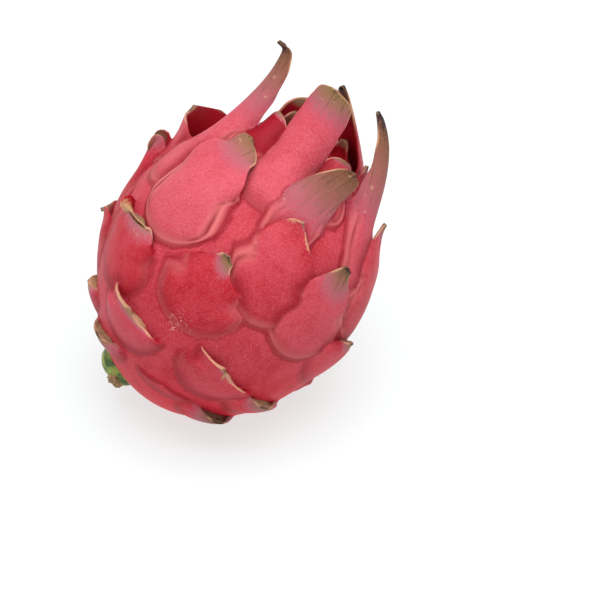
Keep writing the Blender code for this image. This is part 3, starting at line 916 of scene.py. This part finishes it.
class Rind(Finish):
    """The fruit's skin. What is painted on the mesh says where each colour goes, and clouds break it up."""

    def __init__(self):
        super().__init__("rind")
        self.spot = self.place()
        self.dryness = self.painted("dryness")
        self.rim = self.painted("rim")
        self.band = self.painted("band")
        self.groove = self.painted("groove")
        self.inside = self.painted("inside")
        self.across = self.painted("across")
        self.along = self.painted("along")
        self.pale = self.painted("pale")
        self.valley = self.painted("valley")
        self.crease = self.painted("crease")
        self.patches = self.clouds(self.spot, PATCHES, 3.0)
        self.blotches = self.clouds(self.spot, BLOTCHES, 3.0, 0.6)
        self.speckle = self.clouds(self.spot, SPECKLE, 3.0, 0.65)
        self.stipple = self.clouds(self.spot, STIPPLE, 2.0, 0.6)
        self.fibres = self.clouds(self.vector(self.across * 1.1, self.along * 0.12, 0.0), 1.0, 3.0)
        # Painted shading by height: a stronger red low down, and the pale coats thinner there, so the top
        # looks lit.
        height = self.amount("ShaderNodeSeparateXYZ", {}, {0: self.spot}, "Z")
        self.underside_shading = 1.0 - height.step(*UNDERSIDE_SHADING_HEIGHTS)
        self.topside_lighting = 1.0 - self.underside_shading * UNDERSIDE_SHADING_FADE
        self.bloom = self.painted("bloom") * self.topside_lighting
        uneven = self.dryness + (self.fibres - 0.5) * 0.25 * self.dryness.step(0.0, 0.3)
        self.dry_share = (uneven + (self.speckle - 0.5) * 0.5) * self.dryness.step(0.0, 0.15)

    def coat(self, name, share, under):
        strength, colour = COATS[name]
        return self.blend(share * strength, under, colour)

    def skin_colour(self):
        """The waxy skin: rose above with painted shading below, a pink haze, the ridges, and the painted
        shade beside them.
        """
        rosy = self.blend(self.patches.step(0.3, 0.7), ROSE, LIGHT_ROSE)
        # The stronger red painted on the low skin, as its shading.
        underside_shaded = self.blend(self.underside_shading, rosy, UNDERSIDE_SHADING_RED)
        blotched = self.coat("blotch", self.blotches.step(0.5, 0.68), underside_shaded)
        deep = self.coat("crimson", self.bloom * -1.0, blotched)
        haze = self.bloom * 0.6 + (self.patches - 0.5) * 0.6 - (self.blotches - 0.5) * 0.5
        # The pink haze is thinner in the painted shade beside the creases.
        hazy = self.coat("haze", haze * (1.0 - self.valley * 0.5), deep)
        stipple = self.stipple.step(0.45, 0.65) * (0.16 + self.bloom * 0.3)
        stippled = self.coat("stipple", stipple * self.topside_lighting, hazy)
        mottled = self.coat("mottle", self.speckle.step(0.5, 0.75) * self.topside_lighting, stippled)
        pitted = self.coat("pit", (1.0 - self.speckle).step(0.52, 0.66), mottled)
        # The paler ridge, partly a painted highlight, then painted shade in the groove.
        ridged = self.coat("ridge", self.band, pitted)
        grooved = self.coat("groove", self.groove, ridged)
        # Painted shade beside the creases and in them, less on the ridges.
        shaded = self.coat("valley", self.valley * (1.0 - self.band * 0.6), grooved)
        lined = self.coat("crease", self.crease, shaded)
        return self.coat("scuff", self.scuff_share(), lined)

    def scuff_share(self):
        apart = self.amount("ShaderNodeVectorMath", dict(operation="DISTANCE"),
                            {0: self.spot, 1: scuff_place()}, "Value")
        near = 1.0 - apart.step(*SCUFF_RADII)
        fine_blotches = self.clouds(self.spot, FINE_BLOTCHES, 2.0)
        return near * self.speckle.step(0.52, 0.6) * fine_blotches.step(0.45, 0.6)

    def outer_colour(self):
        """The skin with its dry tips, dark streaks, pale scars and pale rims."""
        tip = self.blend(self.pale, *[self.ramp(self.dry_share, stops) for stops in (BROWN_TIP, TAN_TIP)])
        streaked = self.coat("streak", self.fibres.step(0.55, 0.7) * self.dryness.step(0.15, 0.5), tip)
        tipped = self.blend(self.dry_share.step(0.0, 0.4), self.skin_colour(), streaked)
        scars = self.clouds(self.vector(self.across * 0.5, self.along * 0.8, 3.0), 0.8, 1.0)
        scarred = self.coat("scar", scars.step(0.7, 0.76) * self.dryness.step(0.1, 0.3), tipped)
        rim = (self.rim + (self.speckle - 0.5) * 0.6).step(0.5, 0.9)
        return self.coat("rim", rim * (1.0 - self.dryness.step(0.72, 0.9)), scarred)

    def inner_colour(self):
        """The inner faces, with dry husk towards the tip and the edge."""
        husk = self.blend(self.pale, *HUSKS)
        husky = self.blend(self.dry_share.step(0.1, 0.4), self.blend(self.patches, *INNER_REDS), husk)
        charred = self.coat("char", self.dryness.step(0.84, 0.93) * (1.0 - self.pale), husky)
        edge = (self.rim + (self.speckle - 0.5) * 0.4).step(0.15, 0.6) * 0.8
        return self.blend(edge, charred, self.blend(self.pale, *HUSK_EDGES))


def finish_skin():
    rind = Rind()
    rind.colour(rind.blend(rind.inside, rind.outer_colour(), rind.inner_colour()))
    height = rind.stipple * 0.35 + rind.speckle * 0.5 + rind.fibres * rind.dryness.step(0.2, 0.8) * 1.5
    rind.set(Roughness=0.42 + rind.stipple * 0.12 + rind.dryness.step(0.3, 0.9) * 0.2,
             Normal=rind.bump(height, 0.15 * MM, 0.6))
    rind.shader.inputs["Specular IOR Level"].default_value = 0.09
    rind.shader.inputs["Subsurface Weight"].default_value = 0.12
    rind.shader.inputs["Subsurface Radius"].default_value = (1.0, 0.25, 0.2)
    rind.shader.inputs["Subsurface Scale"].default_value = 1.5 * MM
    return rind.material


def dress_fruit():
    fruit = grow_fruit()
    fruit.data.materials.clear()
    fruit.data.materials.append(finish_skin())
    fruit.data.shade_smooth()
    fruit.data.set_sharp_from_angle(angle=SHARP_ANGLE)
    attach(fruit, "root")
    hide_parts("fruit")


# The stub of stem

def stub_placement():
    radius, height = body_point(STUB_LATITUDE)
    return (PLACEMENT @ Matrix.Rotation(STUB_TURN, 4, "Z")
            @ Matrix.Translation((radius, 0.0, height))
            @ Matrix.Rotation(math.pi / 2 - body_lean(STUB_LATITUDE), 4, "Y"))


def paint_cork(mesh, cork):
    layer = mesh.attributes.new("cork", "FLOAT", "CORNER")
    layer.data.foreach_set("value", np.full(len(mesh.loops), cork, dtype=np.float32))


def shape_knob(number, collection):
    """A rough corky bud scar."""
    around = math.radians(KNOB_TURN + KNOB_STEP * number)
    direction = (math.cos(around), math.sin(around), 1.0)
    centre = Vector([a * b * c for a, b, c in zip(direction, STUB_HALF_SIZES, KNOB_PLACE)])
    work = bmesh.new()
    bmesh.ops.create_icosphere(work, subdivisions=KNOB_DIVISIONS, radius=1.0)
    for vert in work.verts:
        crack = ripple(*(vert.co * 3.0 + centre * 900.0)) * KNOB_CRACK
        crack += ripple(*(vert.co * 9.0)) * KNOB_GRAIN
        vert.co = centre + vert.co * KNOB_RADIUS * (0.92 + crack)
    mesh = bpy.data.meshes.new(f"knob_{number}")
    work.to_mesh(mesh)
    work.free()
    paint_cork(mesh, 1.0)
    collection.objects.link(bpy.data.objects.new(mesh.name, mesh))


def shape_stub():
    """The ribbed green lump with its corky knobs as one piece, where it grows on the fruit."""
    work = bmesh.new()
    bmesh.ops.create_uvsphere(work, u_segments=STUB_SIDES, v_segments=STUB_RINGS, radius=1.0)
    for vert in work.verts:
        around = math.atan2(vert.co.y, vert.co.x)
        rib = 1.0 + STUB_RIB_HEIGHT * math.cos(STUB_RIBS * around)
        fold = 1.0 + STUB_FOLD * ripple(*(vert.co * 2.2)) + STUB_GRAIN * ripple(*(vert.co * 8.0))
        vert.co.x *= STUB_HALF_SIZES[0] * rib * fold
        vert.co.y *= STUB_HALF_SIZES[1] * rib * fold
        vert.co.z *= STUB_HALF_SIZES[2] * fold
    mesh = bpy.data.meshes.new("stem_lump")
    work.to_mesh(mesh)
    work.free()
    paint_cork(mesh, 0.0)
    stub = bpy.data.objects.new("stem_lump", mesh)
    bpy.context.scene.collection.objects.link(stub)
    knobs = bpy.data.collections.new("knobs")
    bpy.context.scene.collection.children.link(knobs)
    for number in range(KNOBS):
        shape_knob(number, knobs)
    add_union(stub, knobs)
    stub.data.transform(stub_placement())
    cut_flat(stub)
    return stub


def finish_stem():
    finish = Finish("stem")
    place = finish.place()
    cork = finish.painted("cork")
    patches = finish.clouds(place, 260.0, 4.0, 0.6)
    grain = finish.clouds(place, 1400.0, 3.0, 0.6)
    green = finish.blend(patches.step(0.42, 0.58), STEM_DARK, STEM_GREEN)
    waxy = finish.blend(grain.step(0.5, 0.8) * 0.4, green, STEM_WAX)
    scarred = finish.blend(patches.step(0.62, 0.7), waxy, STEM_SCAR)
    corky = finish.ramp(grain * 0.6 + patches * 0.4, CORK)
    finish.colour(finish.blend(cork, scarred, corky))
    finish.set(Roughness=0.42 + cork * 0.4, Normal=finish.bump(grain + patches, 0.3 * MM, 0.7))
    return finish.material


def dress_stub():
    stub = shape_stub()
    stub.data.materials.clear()
    stub.data.materials.append(finish_stem())
    stub.data.shade_smooth()
    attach(stub, "root")
    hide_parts("stem_stub")


place_camera()
light_the_table()
lay_table()
dress_fruit()
dress_stub()
